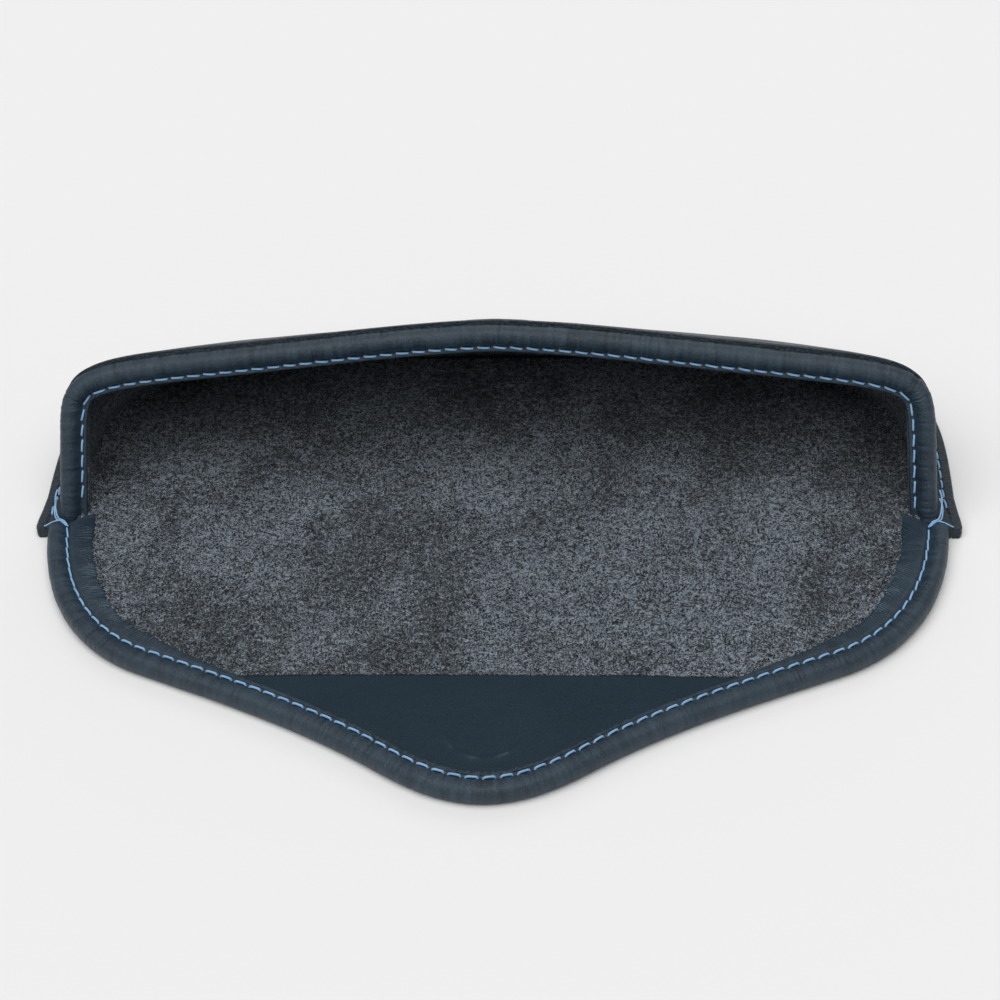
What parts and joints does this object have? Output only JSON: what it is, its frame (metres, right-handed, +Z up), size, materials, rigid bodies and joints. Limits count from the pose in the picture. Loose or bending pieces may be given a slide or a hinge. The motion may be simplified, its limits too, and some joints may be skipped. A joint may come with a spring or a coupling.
{
  "type": "spectacles case",
  "caption": "Wide leather spectacles case with a stiffened D-shaped pouch, suede lining, and a curved flap that folds over and shuts with hidden magnets.",
  "frame": {"origin": "middle of the flap's hinge line, on the plane that the case rests on", "axes": "+X to the right along the hinge line, +Y from the hinge line to the closed end of the pouch, +Z up, with the flap open flat towards -Y"},
  "size_m": [0.17, 0.135, 0.0371],
  "materials": {
    "outer_leather": "pebbled navy leather, satin",
    "edge_leather": "smooth rolled navy leather, satin",
    "facing_leather": "fine-grained navy leather, satin",
    "suede_lining": "brushed grey-blue suede, matt",
    "stiffener_board": "raw fibre board",
    "filler_cord": "plain twisted cotton",
    "blue_thread": "waxed light-blue thread",
    "magnet_steel": "nickel-plated disc"
  },
  "bodies": {
    "pouch": {"back_leather": "outer_leather", "back_board": "stiffener_board", "back_lining": "suede_lining", "front_leather": "outer_leather", "front_board": "stiffener_board", "front_lining": "suede_lining", "mouth_binding": "edge_leather", "mouth_cord": "filler_cord", "mouth_stitching": "blue_thread", "seam_stitching": "blue_thread", "corner_tack_left": "blue_thread", "corner_tack_right": "blue_thread", "front_magnet": "magnet_steel", "front_magnet_disc": "stiffener_board"},
    "flap_bridge": {"bridge_leather": "outer_leather", "bridge_board": "stiffener_board", "bridge_lining": "suede_lining", "bridge_binding_left": "edge_leather", "bridge_binding_right": "edge_leather", "bridge_cord_left": "filler_cord", "bridge_cord_right": "filler_cord", "bridge_stitching": "blue_thread"},
    "flap_tip": {"tip_leather": "outer_leather", "tip_board": "stiffener_board", "tip_facing": "facing_leather", "tip_binding": "edge_leather", "tip_cord": "filler_cord", "tip_stitching": "blue_thread", "flap_magnet": "magnet_steel", "flap_magnet_disc": "stiffener_board"}
  },
  "joints": [
    {"name": "flap_hinge", "type": "hinge", "parent": "pouch", "child": "flap_bridge", "pos_m": [0, 0, 0.004], "axis": [-1, 0, 0], "range_deg": [0, 110]},
    {"name": "flap_fold", "type": "hinge", "parent": "flap_bridge", "child": "flap_tip", "pos_m": [0, -0.0415, 0.004], "axis": [-1, 0, 0], "range_deg": [0, 110.5]}
  ]
}
